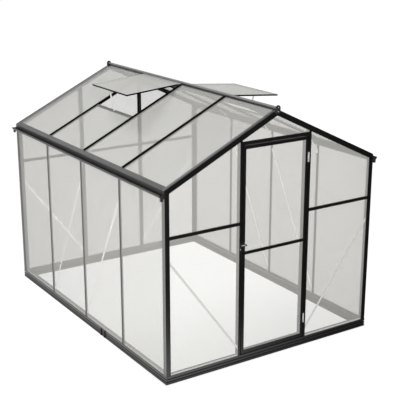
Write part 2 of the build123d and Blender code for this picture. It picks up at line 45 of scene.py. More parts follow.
# Layers of noise in smooth waves, in clouds and in fine grain, and the middle of its range.
WAVE_DETAIL, CLOUD_DETAIL, GRAIN_DETAIL = 2.0, 3.0, 4.0
NOISE_MIDDLE = 0.5
Triple = tuple[float, float, float]
Span = tuple[float, float]
log = logging.getLogger("greenhouse")


class Slot(Enum):
    """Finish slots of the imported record."""

    BLACK_FRAME = "black_frame"
    CLEAR_SHEET = "clear_sheet"
    BLACK_PLASTIC = "black_plastic"
    BARE_ALUMINIUM = "bare_aluminium"
    BRIGHT_STEEL = "bright_steel"


class Body(Enum):
    """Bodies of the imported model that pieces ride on."""

    FRAME = "frame"
    DOOR = "door"
    LATCH = "latch"


class Axis(Enum):
    """Axes of the shared frame, by their letter."""

    X = "X"
    Y = "Y"
    Z = "Z"


class Value:
    """An output socket of a node tree; arithmetic on it adds Math nodes."""

    def __init__(self, graph: "Graph", socket: bpy.types.NodeSocket) -> None:
        """Wrap one socket of a graph."""
        self.graph = graph
        self.socket = socket

    def _math(self, operation: str, first: "Value | float", second: "Value | float") -> "Value":
        """Add one Math node and return its result."""
        return self.graph.node("ShaderNodeMath", {"operation": operation}, {0: first, 1: second})

    def __add__(self, other: "Value | float") -> "Value":
        """Sum."""
        return self._math("ADD", self, other)

    __radd__ = __add__

    def __sub__(self, other: "Value | float") -> "Value":
        """Difference."""
        return self._math("SUBTRACT", self, other)

    def __rsub__(self, other: "Value | float") -> "Value":
        """Difference from a number."""
        return self._math("SUBTRACT", other, self)

    def __mul__(self, other: "Value | float") -> "Value":
        """Product."""
        return self._math("MULTIPLY", self, other)

    def __pow__(self, other: "Value | float") -> "Value":
        """Power."""
        return self._math("POWER", self, other)

    def __abs__(self) -> "Value":
        """Size without sign."""
        return self.graph.node("ShaderNodeMath", {"operation": "ABSOLUTE"}, {0: self})

    def cosine(self) -> "Value":
        """Cosine of an angle in radians."""
        return self.graph.node("ShaderNodeMath", {"operation": "COSINE"}, {0: self})

    def greater(self, other: "Value | float") -> "Value":
        """The larger of two values."""
        return self._math("MAXIMUM", self, other)


class Graph:
    """Node tree of one material or of the world, grown node by node."""

    def __init__(self, tree: bpy.types.NodeTree) -> None:
        """Start from an empty tree."""
        self.tree = tree
        self.tree.nodes.clear()

    def node(
        self, kind: str, settings: dict[str, object], inputs: dict[str | int, object],
        output: int | str = 0,
    ) -> Value | None:
        """Add one node of any type.

        Args:
            kind: Node type name.
            settings: Properties, which are set first.
            inputs: Socket names or numbers, each with a plain value or a Value to link.
            output: Socket to return.

        Returns:
            The chosen output socket, or None for a node that has none.
        """
        node = self.tree.nodes.new(kind)
        for name, value in settings.items():
            setattr(node, name, value)
        for name, value in inputs.items():
            if isinstance(value, Value):
                self.tree.links.new(value.socket, node.inputs[name])
            else:
                node.inputs[name].default_value = value
        return Value(self, node.outputs[output]) if node.outputs else None

    def place(self, stretch: Triple = (1.0, 1.0, 1.0)) -> Value:
        """Object coordinates in metres, stretched for a grain that runs one way."""
        coordinates = self.node("ShaderNodeTexCoord", {}, {}, "Object")
        return self.node("ShaderNodeMapping", {}, {"Vector": coordinates, "Scale": stretch})

    def noise(self, place: Value, scale: float, detail: float = WAVE_DETAIL) -> Value:
        """Noise between 0 and 1, with so many cells to the metre."""
        inputs = {"Vector": place, "Scale": scale, "Detail": detail}
        return self.node("ShaderNodeTexNoise", {}, inputs, "Fac")

    def part(self, vector: Value, axis: Axis) -> Value:
        """One component of a vector."""
        return self.node("ShaderNodeSeparateXYZ", {}, {"Vector": vector}, axis.value)

    def eased(self, value: Value, span: Span, ends: Span) -> Value:
        """Value carried smoothly from one pair of limits to another."""
        inputs = {"Value": value, 1: span[0], 2: span[1], 3: ends[0], 4: ends[1]}
        return self.node("ShaderNodeMapRange", {"interpolation_type": "SMOOTHSTEP"}, inputs)

    def tint(self, factor: Value, first: Triple | Value, second: Triple | Value) -> Value:
        """Colour between two others; sockets 6 and 7 of the Mix node take them and 2 gives it."""
        pair = [end if isinstance(end, Value) else (*end, 1.0) for end in (first, second)]
        return self.node(
            "ShaderNodeMix", {"data_type": "RGBA"}, {0: factor, 6: pair[0], 7: pair[1]}, 2
        )

    def bump(self, height: Value, strength: float, distance: float) -> Value:
        """Normal bent by a height field."""
        inputs = {"Height": height, "Strength": strength, "Distance": distance}
        return self.node("ShaderNodeBump", {}, inputs)

    def principled(self, inputs: dict[str, object]) -> None:
        """Finish the tree with a Principled surface."""
        shader = self.node("ShaderNodeBsdfPrincipled", {}, inputs)
        self.node("ShaderNodeOutputMaterial", {}, {"Surface": shader})


@dataclass(frozen=True, kw_only=True)
class Finish:
    """A surface finish; each kind fills its own node tree.

    The relief is the strength of the bump and its depth in metres.
    """

    name: str
    slot: Slot
    colour: Triple
    patch_colour: Triple
    roughness: float
    gloss_spread: float
    relief: Span

    def base(self, graph: Graph, drift: Value) -> Value:
        """Colour that nears the patches' colour as a drift goes from 0 to 1."""
        return graph.tint(drift, self.colour, self.patch_colour)

    def gloss(self, drift: Value) -> Value:
        """Roughness that follows a drift, about the middle of its range."""
        return self.roughness + (drift - NOISE_MIDDLE) * self.gloss_spread

    def skin(self, graph: Graph, height: Value) -> Value:
        """Normal bent by the relief of the surface."""
        return graph.bump(height, *self.relief)

    def fill(self, graph: Graph) -> None:
        """Add this finish's nodes to an empty tree."""
        raise NotImplementedError

    def material(self) -> bpy.types.Material:
        """Make the material of this finish.

        Returns:
            A new material whose node tree is filled.
        """
        material = bpy.data.materials.new(self.name)
        material.use_nodes = True
        self.fill(Graph(material.node_tree))
        return material


@dataclass(frozen=True, kw_only=True)
class PowderCoat(Finish):
    """Satin powder coat, with an orange-peel skin and a trace of dust."""

    peel_cells: float
    cloud_cells: float
    specular: float
    lacquer: float

    def banded(self, name: str, colour: Triple, axis: Axis, span: Span) -> "BandedCoat":
        """This coat under another name, with a paler band."""
        coat = vars(replace(self, name=name))
        return BandedCoat(**coat, band_colour=colour, band_axis=axis, band_span=span)

    def fill(self, graph: Graph) -> None:
        """Coat whose tone and gloss drift slowly over the profile.

        Args:
            graph: Tree to fill.
        """
        place = graph.place()
        cloud = graph.noise(place, self.cloud_cells, CLOUD_DETAIL)
        peel = graph.noise(place, self.peel_cells)
        graph.principled({
            "Base Color": self.base(graph, cloud),
            "Roughness": self.gloss(cloud),
            "Specular IOR Level": self.specular,
            "Coat Weight": self.lacquer,
            "Coat Roughness": self.roughness,
            "Normal": self.skin(graph, peel),
        })


@dataclass(frozen=True, kw_only=True)
class BandedCoat(PowderCoat):
    """Powder coat with a paler band along one edge of the profile; on the ridge, gutters and corner
    posts the band is a painted highlight.
    """

    band_colour: Triple
    band_axis: Axis
    band_span: Span

    def base(self, graph: Graph, drift: Value) -> Value:
        """Coat colour up to the first limit of the span, and the band's from the second on.

        The limits are distances along the axis to either side; a span that runs down puts the
        band on the near side of it.

        Args:
            graph: Tree to add to.
            drift: Drift of the coat's tone.

        Returns:
            Colour of the surface.
        """
        reach = abs(graph.part(graph.place(), self.band_axis))
        band = graph.eased(reach, self.band_span, (0.0, 1.0))
        return graph.tint(band, super().base(graph, drift), self.band_colour)


@dataclass(frozen=True, kw_only=True)
class ClearSheet(Finish):
    """Hazy twin-wall sheet that veils what lies behind it."""

    veil: float
    veil_spread: float
    rib_veil: float
    rib_pitch: float
    rib_axis: Axis
    rib_power: float = 6.0
    specular: float
    cloud_cells: float
    wave_cells: float

    def ribs(self, graph: Graph) -> Value:
        """Narrow bands, one at each wall between the two skins.

        Args:
            graph: Tree to add to.

        Returns:
            A power of the squared cosine, from 0 between the walls to 1 on each.
        """
        turn = graph.part(graph.place(), self.rib_axis) * (math.pi / self.rib_pitch)
        wave = turn.cosine()
        return (wave * wave) ** self.rib_power

    def fill(self, graph: Graph) -> None:
        """See-through sheet with fine ribs, a slow drift of haze and a faint roll in its gloss.

        Args:
            graph: Tree to fill.
        """
        place = graph.place()
        cloud = graph.noise(place, self.cloud_cells, CLOUD_DETAIL)
        wave = graph.noise(place, self.wave_cells)
        haze = self.veil + (cloud - NOISE_MIDDLE) * self.veil_spread
        graph.principled({
            "Base Color": self.base(graph, cloud),
            "Roughness": self.gloss(cloud),
            "Alpha": haze + self.ribs(graph) * self.rib_veil,
            "Specular IOR Level": self.specular,
            "Normal": self.skin(graph, wave),
        })


@dataclass(frozen=True, kw_only=True)
class MattePlastic(Finish):
    """Matte plastic, with a fine spark-eroded grain or a soft mottle."""

    grain_cells: float
    grain_detail: float

    def fill(self, graph: Graph) -> None:
        """Plastic whose tone, gloss and relief follow one grain.

        Args:
            graph: Tree to fill.
        """
        grain = graph.noise(graph.place(), self.grain_cells, self.grain_detail)
        graph.principled({
            "Base Color": self.base(graph, grain),
            "Roughness": self.gloss(grain),
            "Normal": self.skin(graph, grain),
        })


@dataclass(frozen=True, kw_only=True)
class BareMetal(Finish):
    """Bare metal with a drawn grain along one axis and cloudy patches."""

    metallic: float
    grain: Triple
    grain_cells: float
    cloud_cells: float

    def fill(self, graph: Graph) -> None:
        """Metal with cloudy tone, whose gloss and relief follow its drawing lines.

        Args:
            graph: Tree to fill.
        """
        lines = graph.noise(graph.place(self.grain), self.grain_cells, CLOUD_DETAIL)
        cloud = graph.noise(graph.place(), self.cloud_cells, CLOUD_DETAIL)
        graph.principled({
            "Base Color": self.base(graph, cloud),
            "Metallic": self.metallic,
            "Roughness": self.gloss(lines),
            "Normal": self.skin(graph, lines),
        })


COAT = PowderCoat(
    name="black_frame", slot=Slot.BLACK_FRAME, colour=(0.002, 0.002, 0.0016),
    patch_colour=(0.005, 0.005, 0.0042), roughness=0.34, gloss_spread=0.1,
    relief=(0.15, 0.0002), peel_cells=900.0, cloud_cells=6.0, specular=1.0, lacquer=0.06,
)
BAR_COAT = replace(COAT, name="matt_bar", roughness=0.6, specular=0.03, lacquer=0.0)
# Vent sills: the black coat painted mid-grey, a painted sheen for the light caught on their outer
# face.
VENT_SILL_SHEEN_COAT = replace(
    BAR_COAT, name="vent_sill_painted_sheen", colour=(0.28, 0.28, 0.27), patch_colour=(0.32, 0.32, 0.3),
)
# Sill rails: a paler copy of the black coat, painted sheen that lifts the raised rails above the
# plain coat in the grooves; their lacquer gloss is real.
SILL_RAIL_SHEEN_COAT = replace(
    COAT, name="sill_rail_painted_sheen", colour=(0.011, 0.011, 0.01), patch_colour=(0.019, 0.019, 0.018),
    lacquer=1.0,
)
# Ridge trim: the black coat painted grey, a painted highlight on the crest's rounded top.
CREST_SHEEN_COAT = replace(
    COAT, name="ridge_crest_painted_sheen", colour=(0.25, 0.25, 0.24), patch_colour=(0.29, 0.29, 0.28),
)
# Gutters: a paler black than the frame, and a paler band on their upper faces, both painted
# highlight for light the gutter catches.
GUTTER_HIGHLIGHT_COAT = replace(
    COAT, colour=(0.02, 0.02, 0.019), patch_colour=(0.042, 0.042, 0.04), roughness=0.45,
    specular=0.7, lacquer=0.0,
).banded("gutter_painted_highlight", (0.06, 0.06, 0.056), Axis.Z, (1.449, 1.4535))
# Ridge beam: a paler band along its top, painted highlight.
RIDGE_HIGHLIGHT_COAT = COAT.banded("ridge", (0.26, 0.26, 0.25), Axis.Z, (1.9155, 1.9175))
# Front corner posts: a paler band on their outer side faces, painted highlight.
CORNER_HIGHLIGHT_COAT = COAT.banded("corner_post", (0.15, 0.15, 0.14), Axis.X, (0.9488, 0.9496))
VENT_COAT = BAR_COAT.banded("vent_frame", (0.72, 0.72, 0.7), Axis.X, (0.031, 0.028))
SHEET = ClearSheet(
    name="clear_sheet", slot=Slot.CLEAR_SHEET, colour=(0.846, 0.834, 0.79),
    patch_colour=(0.81, 0.805, 0.765), roughness=0.22, gloss_spread=0.02, relief=(0.2, 0.002),
    veil=0.375, veil_spread=0.02, rib_veil=0.03, rib_pitch=0.006, rib_axis=Axis.Y,
    specular=0.25, cloud_cells=1.5, wave_cells=3.0,
)
# Gable sheets: ribs run the other way, and less haze darkens their lit veil, a shaded copy of the
# sheet.
DIMMED_GABLE_SHEET = replace(SHEET, name="dimmed_gable_sheet", rib_axis=Axis.X, veil=0.265)
# Roof sheets: a darker, hazier copy of the sheet, painted shade on the slopes.
SHADED_ROOF_SHEET = replace(
    SHEET, name="shaded_roof_sheet", veil=0.44, colour=(0.76, 0.75, 0.71),
    patch_colour=(0.73, 0.725, 0.69),
)
# Vent sheets: a near-white, hazier copy of the sheet, painted light on the vents.
LIT_VENT_SHEET = replace(
    SHEET, name="lit_vent_sheet", veil=0.72, colour=(0.97, 0.96, 0.92),
    patch_colour=(0.94, 0.935, 0.89),
)
PLASTIC = MattePlastic(
    name="black_plastic", slot=Slot.BLACK_PLASTIC, colour=(0.012, 0.012, 0.012),
    patch_colour=(0.03, 0.03, 0.03), roughness=0.55, gloss_spread=0.1, relief=(0.25, 0.0003),
    grain_cells=1500.0, grain_detail=GRAIN_DETAIL,
)
ALUMINIUM = BareMetal(
    name="bare_aluminium", slot=Slot.BARE_ALUMINIUM, colour=(0.97, 0.97, 0.96),
    patch_colour=(0.93, 0.93, 0.93), roughness=0.4, gloss_spread=0.15, relief=(0.1, 0.0002),
    metallic=0.1, grain=(1.0, 1.0, 0.05), grain_cells=600.0, cloud_cells=20.0,
)
STEEL = BareMetal(
    name="bright_steel", slot=Slot.BRIGHT_STEEL, colour=(0.86, 0.86, 0.85),
    patch_colour=(0.74, 0.75, 0.76), roughness=0.3, gloss_spread=0.15, relief=(0.1, 0.0002),
    metallic=0.4, grain=(1.0, 1.0, 1.0), grain_cells=400.0, cloud_cells=60.0,
)
SEAL = MattePlastic(
    name="sheet_seal", slot=Slot.CLEAR_SHEET, colour=(0.97, 0.97, 0.95),
    patch_colour=(0.92, 0.92, 0.89), roughness=0.6, gloss_spread=0.2, relief=(0.1, 0.0003),
    grain_cells=25.0, grain_detail=CLOUD_DETAIL,
)
SLOT_FINISHES = (COAT, SHEET, PLASTIC, ALUMINIUM, STEEL)
NODE_FINISHES = (
    (BAR_COAT, ("left_roof_bars", "right_roof_bars")),
    (RIDGE_HIGHLIGHT_COAT, ("ridge_beam",)),
    (CORNER_HIGHLIGHT_COAT, ("front_corner_posts",)),
    (VENT_COAT, ("vent_frames",)),
    (SHADED_ROOF_SHEET, ("left_roof_panels", "right_roof_panels")),
    (LIT_VENT_SHEET, ("vent_panels",)),
    (GUTTER_HIGHLIGHT_COAT, ("gutter_left", "gutter_right")),
    (VENT_SILL_SHEEN_COAT, ("vent_sills",)),
    (DIMMED_GABLE_SHEET, ("front_panels", "back_panels", "door_panels")),
)


class Palette:
    """Materials that are made so far, one for each finish."""

    def __init__(self) -> None:
        """Start with none."""
        self.made: dict[Finish, bpy.types.Material] = {}

    def material(self, finish: Finish) -> bpy.types.Material:
        """Find the material of a finish, or make it when it is first asked for.

        Args:
            finish: Finish to show.

        Returns:
            Its material.
        """
        if finish not in self.made:
            self.made[finish] = finish.material()
        return self.made[finish]


@dataclass(frozen=True)
class Building:
    """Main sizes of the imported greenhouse, in metres."""

    half_width: float = 0.95
    half_length: float = 1.285
    ridge: float = 1.910
    eave: float = 1.454
    bar_pitch: float = 0.633
    sill_top: float = 0.065

    @property
    def bar_places(self) -> np.ndarray:
        """Places of the three bars of each side along the ridge."""
        return np.array([-self.bar_pitch, 0.0, self.bar_pitch])

    @property
    def roof_angle(self) -> float:
        """Slope of the roof in radians."""
        return math.atan2(self.ridge - self.eave, self.half_width)

    @property
    def roof_normal(self) -> Triple:
        """Unit direction out of the right slope."""
        return math.sin(self.roof_angle), 0.0, math.cos(self.roof_angle)

    def slope_point(self, slope: float, depth: float = 0.0) -> Span:
        """Point of the right slope, by way down it and depth below its face, as x and z."""
        run, rise = math.cos(self.roof_angle), math.sin(self.roof_angle)
        return slope * run - depth * rise, self.ridge - slope * rise - depth * run

    def slope_lines(self, y: np.ndarray, slopes: Span) -> list[np.ndarray]:
        """Straight lines down the face of the right slope.

        Args:
            y: Place of each line along the ridge.
            slopes: Way down the slope to the top and to the foot of the lines.

        Returns:
            Tops and feet of the lines, one row each.
        """
        points = [self.slope_point(slope) for slope in slopes]
        return [np.stack([np.full_like(y, x), y, np.full_like(y, z)], axis=1) for x, z in points]


BUILDING = Building()


@dataclass(frozen=True)
class Lamp:
    """Soft square lamp, turned to the middle of the object unless it has an aim of its own."""

    name: str
    place: Triple
    size: float
    power: float
    aim: Triple = (0.0, 0.0, 0.9)
    lit_nodes: tuple[str, ...] = ()

    def build(self) -> None:
        """Hang the lamp out of sight; where it names nodes, these alone are lit and block it."""
        light = bpy.data.lights.new(self.name, "AREA")
        light.size = self.size
        light.energy = self.power
        lamp = bpy.data.objects.new(self.name, light)
        lamp.location = self.place
        sight = Vector(self.aim) - Vector(self.place)
        lamp.rotation_euler = sight.to_track_quat("-Z", "Y").to_euler()
        lamp.visible_camera = False
        bpy.context.scene.collection.objects.link(lamp)
        if self.lit_nodes:
            lit = bpy.data.collections.new(self.name)
            for node in self.lit_nodes:
                lit.objects.link(frame["nodes"][node])
            lamp.light_linking.receiver_collection = lit
            lamp.light_linking.blocker_collection = lit


@dataclass
class Studio:
    """Pale floor, soft lamps and the camera of the photograph."""

    eye: Triple = (-4.0649, -6.507, 3.2281)
    heading_deg: float = 33.0855
    pitch_deg: float = 16.8
    lens_mm: float = 84.4621
    sensor_mm: float = 36.0
    floor_half: float = 40.0
    floor_colour: Triple = (0.55, 0.55, 0.55)
    # Share of white that the floor shows inside the front, in the middle and outside the house; the
    # lower share inside the front is painted shade.
    floor_glow: Triple = (0.73, 0.98, 0.89)
    floor_depth: Span = (-BUILDING.half_length, 0.2)
    floor_edge: float = 0.03
    floor_white: float = 1.13
    # Brightness of the floor and of the horizon in mirrored rays, in front and behind.
    floor_fade: Span = (-2.4, 0.0)
    floor_mirrored: Span = (0.03, 1.0)
    wall_fade: Span = (-0.6, 0.6)
    wall_mirrored: Span = (0.024, 0.8)
    # Reach and share of what mirrored rays see of the floor beside the walls: a painted contact
    # shadow in reflections.
    contact_reach: float = 0.12
    contact_shade: float = 0.25
    ambient: float = 0.48
    ceiling: float = 0.25
    ceiling_fade: Span = (0.1, 0.6)
    lamps: tuple[Lamp, ...] = (
        Lamp("key", (-3.0, -9.5, 4.0), 4.0, 540.0),
        Lamp("top", (-1.5, -3.5, 6.5), 4.0, 72.0),
        Lamp("left_rim", (-6.0, -0.8, 1.8), 3.0, 98.0),
        Lamp("back_rim", (0.5, 7.0, 6.0), 4.0, 88.0),
        Lamp("right_rim", (7.5, 0.5, 3.0), 4.0, 75.0),
        Lamp("gable_fill", (0.0, -0.9, 1.3), 0.6, 48.0, (0.0, 1.28, 0.5), ("gable_braces",)),
        Lamp(
            "side_fill", (-7.0, -4.0, 4.0), 3.0, 430.0,
            lit_nodes=("side_braces", "eave_brackets"),
        ),
        Lamp("vent_fill", (-1.5, 1.5, 6.5), 3.0, 30.0, lit_nodes=("vent_panels",)),
    )

    def rays(self, graph: Graph) -> tuple[Value, Value]:
        """Kinds of ray, so that the background shows white without lighting the object.

        Args:
            graph: Tree to add to.

        Returns:
            1 for seen and refracted rays, and 1 for mirrored rays.
        """
        camera, glossy, through = [
            graph.node("ShaderNodeLightPath", {}, {}, name)
            for name in ("Is Camera Ray", "Is Glossy Ray", "Is Transmission Ray")
        ]
        return camera.greater(through), glossy

    def floor_paint(self, graph: Graph) -> None:
        """Matte paint that takes the object's shadow, mixed with a white glow by kind of ray, with
        painted shade inside the front of the house and, in reflections, beside the walls.

        Args:
            graph: Tree to fill.
        """
        place = graph.place()
        x, y = graph.part(place, Axis.X), graph.part(place, Axis.Y)
        away = (abs(x) - BUILDING.half_width).greater(abs(y) - BUILDING.half_length)
        seen, mirrored = self.rays(graph)
        share = mirrored * graph.eased(y - x, self.floor_fade, self.floor_mirrored)
        near = (0.0, self.contact_reach)
        # Mirrored rays see the floor darker near the walls: a painted contact shadow.
        share = share * graph.eased(abs(away), near, (self.contact_shade, 1.0))
        matte = graph.node("ShaderNodeBsdfDiffuse", {}, {"Color": (*self.floor_colour, 1.0)})
        strength = seen * self.floor_white + share
        glow = graph.node("ShaderNodeEmission", {}, {"Strength": strength})
        front, middle, outside = self.floor_glow
        # Less glow inside the front of the house: painted shade on the floor there.
        clear = graph.eased(y, self.floor_depth, (front, middle))
        clear = clear + graph.eased(away, (0.0, self.floor_edge), (0.0, 1.0)) * (outside - clear)
        shown = seen * clear + mirrored
        shader = graph.node("ShaderNodeMixShader", {}, {0: shown, 1: matte, 2: glow})
        graph.node("ShaderNodeOutputMaterial", {}, {"Surface": shader})

    def floor(self) -> None:
        """Flat pale floor that shows white and keeps the object's shadow."""
        side = np.array([-self.floor_half, self.floor_half])
        x, y = np.meshgrid(side, side)
        points = np.stack([x, y, np.zeros_like(x)], axis=-1).reshape(-1, 3)
        mesh = bpy.data.meshes.new("floor")
        mesh.from_pydata(points.tolist(), [], [(0, 1, 3, 2)])
        material = bpy.data.materials.new("floor")
        material.use_nodes = True
        self.floor_paint(Graph(material.node_tree))
        material.cycles.emission_sampling = "NONE"
        mesh.materials.append(material)
        floor = bpy.data.objects.new("floor", mesh)
        bpy.context.scene.collection.objects.link(floor)

    def world(self) -> None:
        """Soft light from all round that falls off to a dim ceiling and shows as white."""
        world = bpy.data.worlds.new("studio")
        world.use_nodes = True
        graph = Graph(world.node_tree)
        sight = graph.node("ShaderNodeTexCoord", {}, {}, "Generated")
        level = graph.eased(graph.part(sight, Axis.Z), self.ceiling_fade, (1.0, self.ceiling))
        behind = graph.part(sight, Axis.Y) - graph.part(sight, Axis.X)
        share = graph.eased(behind, self.wall_fade, self.wall_mirrored)
        seen, mirrored = self.rays(graph)
        strength = seen.greater(level * (self.ambient + mirrored * (share - self.ambient)))
        light = graph.node("ShaderNodeBackground", {}, {"Color": WHITE, "Strength": strength})
        graph.node("ShaderNodeOutputWorld", {}, {"Surface": light})
        world.cycles.sampling_method = "NONE"
        bpy.context.scene.world = world

    def camera(self) -> None:
        """Camera at the photograph's angle."""
        data = bpy.data.cameras.new("camera")
        data.lens = self.lens_mm
        data.sensor_width = self.sensor_mm
        camera = bpy.data.objects.new("camera", data)
        camera.location = self.eye
        tilt = math.radians(90.0 - self.pitch_deg)
        camera.rotation_euler = (tilt, 0.0, math.radians(-self.heading_deg))
        bpy.context.scene.collection.objects.link(camera)
        bpy.context.scene.camera = camera

    def build(self) -> None:
        """Set up everything around the object."""
        bpy.context.scene.view_settings.view_transform = "Standard"
        self.floor()
        self.world()
        for lamp in self.lamps:
            lamp.build()
        self.camera()


def both_sides(points: np.ndarray) -> np.ndarray:
    """Points of the right side with those of the left, turned half round the upright axis."""
    return np.concatenate([points, points * (-1.0, -1.0, 1.0)])


@dataclass(frozen=True)
class HexBolt:
    """Hexagon bolt head on a round washer."""

    across: float = 0.010
    height: float = 0.004
    chamfer: float = 0.0008
    washer_radius: float = 0.0066
    washer_height: float = 0.0012
    columns: int = 24

    def section(self) -> tuple[np.ndarray, np.ndarray, np.ndarray]:
        """Rings of the head about its axis.

        Half the width across flats, divided by the cosine of the angle from the middle of the
        nearest flat, is a hexagon; each ring mixes that with a circle by its own share.

        Returns:
            Angle of each column, and radius and height of each ring at each column.
        """
        turn = np.arange(self.columns) * (2.0 * math.pi / self.columns)
        hexagon = 1.0 / np.cos((turn + math.pi / 6.0) % (math.pi / 3.0) - math.pi / 6.0)
        half, low = self.across / 2.0, self.washer_height
        top = low + self.height
        rings = np.array([
            (0.0, 0.0, 0.0), (0.0, self.washer_radius, 0.0), (0.0, self.washer_radius, low),
            (1.0, half, low), (1.0, half, top - self.chamfer), (0.0, half, top), (0.0, 0.0, top),
        ])
        share, radius, height = rings.T[:, :, None]
        return turn, radius * (1.0 + share * (hexagon - 1.0)), height + 0.0 * turn


@dataclass(frozen=True)
class DomeScrew:
    """Domed screw or pin head, with a cross recess if it has a depth."""

    radius: float
    height: float
    rim: float
    recess: float = 0.0
    recess_hub: float = 0.15
    recess_reach: float = 0.6
    recess_fade: float = 0.3
    recess_power: int = 6
    columns: int = 32
    steps: int = 9

    def section(self) -> tuple[np.ndarray, np.ndarray, np.ndarray]:
        """Rings of the head about its axis.

        The dome falls from its top by the square of the share of the radius. The recess is
        deepest in its hub and where an even power of cos(2 x angle) nears 1, and fades out
        towards its reach, which is a share of the radius like its hub.

        Returns:
            Angle of each column, and radius and height of each ring at each column.
        """
        turn = np.arange(self.columns) * (2.0 * math.pi / self.columns)
        share = np.linspace(1.0, 0.0, self.steps)[:, None]
        cross = np.maximum(np.cos(2.0 * turn) ** self.recess_power, share < self.recess_hub)
        fade = np.clip((self.recess_reach - share) / self.recess_fade, 0.0, 1.0)
        dome = self.rim + (self.height - self.rim) * (1.0 - share ** 2)
        dome = dome - self.recess * cross * fade
        foot = np.array([[0.0], [1.0]])
        radius = np.concatenate([foot, share]) * self.radius + 0.0 * turn
        return turn, radius, np.concatenate([0.0 * foot + 0.0 * turn, dome])


Head = HexBolt | DomeScrew
SMALL_BOLT = HexBolt(across=0.007, height=0.003, washer_radius=0.005)


def seated(head: Head, seats: np.ndarray, normals: np.ndarray, steep: float = 0.9) -> np.ndarray:
    """Carry a head to every seat.

    Each point is seat + radius x (cos(turn) x u + sin(turn) x v) + height x normal, where u and v
    are two directions square to the normal and to each other.

    Args:
        head: Bolt or screw head.
        seats: Points that the heads sit on, one row each.
        normals: Unit directions that the heads face, one row each.
        steep: Rise of a normal from which u is taken square to x, and not to upright.

    Returns:
        Array of (head, ring, column, 3).
    """
    turn, radius, height = head.section()
    helper = np.where(np.abs(normals[:, 2:]) < steep, (0.0, 0.0, 1.0), (1.0, 0.0, 0.0))
    across = np.cross(helper, normals)
    across /= np.linalg.norm(across, axis=1, keepdims=True)
    along = np.cross(normals, across)
    seats, normals, across, along = [
        rows[:, None, None, :] for rows in (seats, normals, across, along)
    ]
    round_part = across * np.cos(turn)[:, None] + along * np.sin(turn)[:, None]
    return seats + radius[:, :, None] * round_part + height[:, :, None] * normals


def strips(
    starts: np.ndarray, ends: np.ndarray, up: Triple, half_width: float, height: float,
    power: float = 1.0, columns: int = 16, digits: int = 9,
) -> np.ndarray:
    """Carry a flat-bottomed half oval along straight stretches, closed at their ends.

    A point is start + share x (end - start) + half width x cos(turn) x side + height x
    sin(turn) x up, with cosine and sine raised to a power that squares the oval up, and with the
    lower half pressed flat onto what carries the strip.

    Args:
        starts: First end of each stretch, one row each.
        ends: Other end of each stretch, one row each.
        up: Unit direction away from what carries the strips.
        half_width: Half the width of a strip.
        height: Rise of a strip at its middle.
        power: 1 for an oval, and towards 0 for a box with rounded corners.
        columns: Number of points round the oval.
        digits: Digits of cosine and sine that are kept, so that a zero stays a zero.

    Returns:
        Array of (strip, ring, column, 3).
    """
    way = ends - starts
    side = np.cross(way / np.linalg.norm(way, axis=1, keepdims=True), up)
    turn = np.arange(columns) * (2.0 * math.pi / columns)
    swell = np.array([0.0, 1.0, 1.0, 0.0])[:, None, None]
    share = np.array([0.0, 0.0, 1.0, 1.0])[:, None, None]
    cosine = np.round(np.cos(turn), digits)
    wide = np.sign(cosine) * np.abs(cosine) ** power
    tall = np.clip(np.round(np.sin(turn), digits), 0.0, 1.0) ** power
    across = half_width * wide[:, None] * side[:, None, None, :]
    rise = height * tall[:, None] * np.array(up)
    path = starts[:, None, None, :] + share * way[:, None, None, :]
    return path + swell * (across + rise)


@dataclass(frozen=True)
class Piece:
    """One smooth piece that rides a body.

    Its points are an array of (shape, ring, column, 3), and the columns close on themselves.
    """

    name: str
    points: np.ndarray
    finish: Finish
    body: Body = Body.FRAME
    sharp_deg: float = 35.0
    merge: float = 1e-6

    def quads(self) -> np.ndarray:
        """Faces between neighbouring rings and columns.

        Returns:
            Numbers of the four corners of each face, one row each.
        """
        shapes, rings, columns, _ = self.points.shape
        index = np.arange(shapes * rings * columns).reshape(shapes, rings, columns)
        after = np.roll(index, -1, axis=2)
        corners = [index[:, :-1], after[:, :-1], after[:, 1:], index[:, 1:]]
        return np.stack(corners, axis=-1).reshape(-1, 4)

    def mesh(self) -> bpy.types.Mesh:
        """Join the rings, merge the points that meet and turn the faces outward.

        Returns:
            Mesh that is smooth but for its sharp edges.
        """
        mesh = bpy.data.meshes.new(self.name)
        mesh.from_pydata(self.points.reshape(-1, 3).tolist(), [], self.quads().tolist())
        shape = bmesh.new()
        shape.from_mesh(mesh)
        bmesh.ops.remove_doubles(shape, verts=shape.verts, dist=self.merge)
        bmesh.ops.recalc_face_normals(shape, faces=shape.faces)
        shape.to_mesh(mesh)
        shape.free()
        mesh.polygons.foreach_set("use_smooth", np.ones(len(mesh.polygons), dtype=bool))
        mesh.set_sharp_from_angle(angle=math.radians(self.sharp_deg))
        return mesh

    def build(self, palette: Palette) -> None:
        """Put the piece into the scene.

        Args:
            palette: Materials made so far.
        """
        mesh, body, slot = self.mesh(), self.body, self.finish.slot
        mesh.materials.append(palette.material(self.finish))
        piece = bpy.data.objects.new(self.name, mesh)
        bpy.context.scene.collection.objects.link(piece)
        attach(piece, body.value)
        log.info("built %s: %d faces", self.name, len(mesh.polygons))


class Assembly:
    """A group of added pieces; each kind works out its own."""

    def pieces(self) -> list[Piece]:
        """The group's pieces, shaped and with their finishes."""
        raise NotImplementedError

    def build(self, palette: Palette) -> None:
        """Put every piece of the group into the scene."""
        for piece in self.pieces():
            piece.build(palette)


